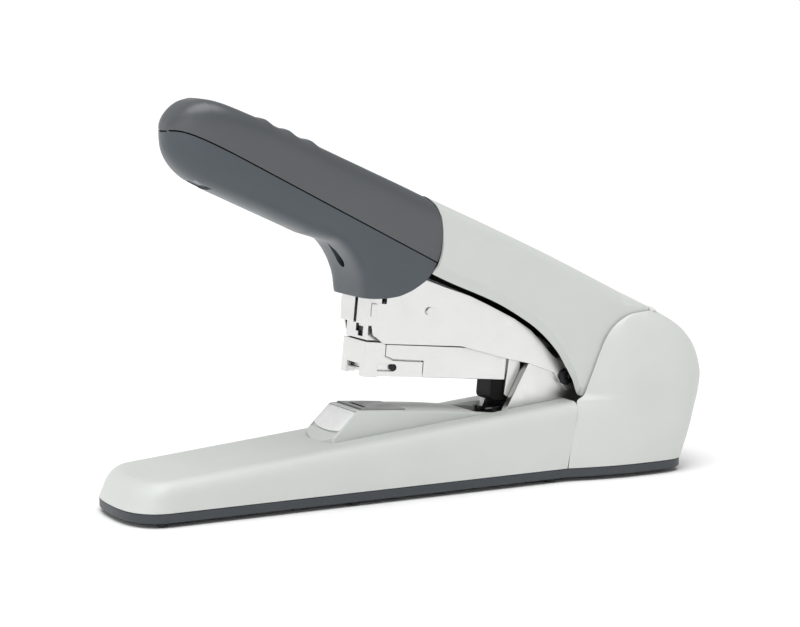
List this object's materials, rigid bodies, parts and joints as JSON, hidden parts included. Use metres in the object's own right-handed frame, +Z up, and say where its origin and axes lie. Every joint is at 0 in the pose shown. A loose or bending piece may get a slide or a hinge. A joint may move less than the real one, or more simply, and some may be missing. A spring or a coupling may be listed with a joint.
{
  "type": "stapler",
  "caption": "Heavy-duty flat-clinch desk stapler with a long throat: hinged lever handle over a sprung steel arm, staple magazine, sinking clinch table and footed base.",
  "frame": {"origin": "under the middle of the bounding box, on the surface the feet stand on", "axes": "+X from the nose of the base to the rear housing, +Y to the stapler's right when seen from the nose, +Z up"},
  "size_m": [0.308, 0.073, 0.1877],
  "materials": {
    "light_plastic": "light grey satin moulded plastic",
    "dark_plastic": "dark slate grey satin moulded plastic",
    "lower_dark_plastic": "dark blue-grey satin moulded plastic",
    "tray_plastic": "dark grey moulded plastic",
    "black_plastic": "black moulded plastic",
    "rubber": "dark grey rubber",
    "bright_steel": "bright nickel-plated sheet steel",
    "anvil_steel": "ground steel",
    "dark_steel": "black oxide steel",
    "spring_steel": "spring steel",
    "white_window": "clear glossy panel over white",
    "staple_wire": "galvanised wire"
  },
  "bodies": {
    "base": {"base_tray": "tray_plastic", "base_cover": "light_plastic", "rear_housing": "light_plastic", "chassis_frame": "bright_steel", "clincher_block": "black_plastic", "table_hinge_pin": "spring_steel", "arm_axle": "dark_steel", "handle_axle": "dark_steel", "arm_lift_spring": "spring_steel", "handle_torsion_spring": "spring_steel", "table_spring": "spring_steel", "base_foot_1": "rubber", "base_foot_2": "rubber", "base_foot_3": "rubber", "base_foot_4": "rubber", "base_foot_5": "rubber", "base_foot_6": "rubber", "base_foot_7": "rubber", "base_foot_8": "rubber", "tray_screw_1": "spring_steel", "tray_screw_2": "spring_steel", "tray_screw_3": "spring_steel", "tray_screw_4": "spring_steel"},
    "table": {"clinch_table": "light_plastic", "anvil_plate": "anvil_steel", "table_window": "white_window"},
    "wing_left": {"clincher_wing_left": "spring_steel"},
    "wing_right": {"clincher_wing_right": "spring_steel"},
    "arm": {"arm_frame": "bright_steel", "frame_rivet_left": "bright_steel", "frame_rivet_right": "bright_steel", "corner_tab_left": "bright_steel", "corner_tab_right": "bright_steel", "blade_guide": "bright_steel", "magazine_channel": "bright_steel", "bracket_plates": "bright_steel", "lift_buffer": "black_plastic", "magazine_rail": "bright_steel", "staple_strip": "staple_wire", "guide_rod": "spring_steel", "pusher_spring": "spring_steel"},
    "casing": {"front_casing": "bright_steel", "latch_pin_left": "dark_steel", "latch_pin_right": "dark_steel"},
    "pusher": {"staple_pusher": "black_plastic"},
    "driver": {"driver_blade": "dark_steel", "driver_hammer": "dark_steel"},
    "handle": {"handle_top_cover": "dark_plastic", "handle_lower_shell": "lower_dark_plastic", "arm_cover": "light_plastic", "handle_lever": "dark_steel", "press_pin": "dark_steel", "handle_screw_1": "spring_steel", "handle_screw_2": "spring_steel"}
  },
  "joints": [
    {"name": "handle_hinge", "type": "hinge", "parent": "base", "child": "handle", "pos_m": [0.117, 0, 0.047], "axis": [0, -1, 0], "range_deg": [0, 12], "stiffness_Nm_per_rad": 4, "springref_deg": -14.32, "deforming": ["handle_torsion_spring"]},
    {"name": "arm_hinge", "type": "hinge", "parent": "base", "child": "arm", "pos_m": [0.0785, 0, 0.049], "axis": [0, -1, 0], "range_deg": [0, 7.5], "stiffness_Nm_per_rad": 1, "springref_deg": -17.19, "deforming": ["arm_lift_spring"]},
    {"name": "driver_slide", "type": "slide", "parent": "arm", "child": "driver", "axis": [-0.1028, 0, -0.9947], "range_m": [0, 0.016]},
    {"name": "casing_slide", "type": "slide", "parent": "arm", "child": "casing", "axis": [-0.9947, 0, 0.1028], "range_m": [0, 0.02]},
    {"name": "pusher_slide", "type": "slide", "parent": "arm", "child": "pusher", "axis": [0.9947, 0, -0.1028], "range_m": [0, 0.034], "stiffness_N_per_m": 20, "springref_m": -0.05, "deforming": ["pusher_spring"]},
    {"name": "table_hinge", "type": "hinge", "parent": "base", "child": "table", "pos_m": [0.033, 0, 0.024], "axis": [0, -1, 0], "range_deg": [0, 2], "stiffness_Nm_per_rad": 6, "springref_deg": -5.73, "deforming": ["table_spring"]},
    {"name": "wing_right_hinge", "type": "hinge", "parent": "table", "child": "wing_right", "pos_m": [-0.0285, 0.008, 0.031], "axis": [-1, 0, 0], "range_deg": [0, 15]},
    {"name": "wing_left_hinge", "type": "hinge", "parent": "table", "child": "wing_left", "pos_m": [-0.0285, -0.008, 0.031], "axis": [1, 0, 0], "range_deg": [0, 15]}
  ],
  "couplings": [
    {"joint": "arm_hinge", "follows": "handle_hinge", "ratio": 0.625},
    {"joint": "driver_slide", "follows": "handle_hinge", "m_per_rad": 0.076347},
    {"joint": "wing_right_hinge", "follows": "table_hinge", "ratio": 7.5},
    {"joint": "wing_left_hinge", "follows": "table_hinge", "ratio": 7.5}
  ]
}
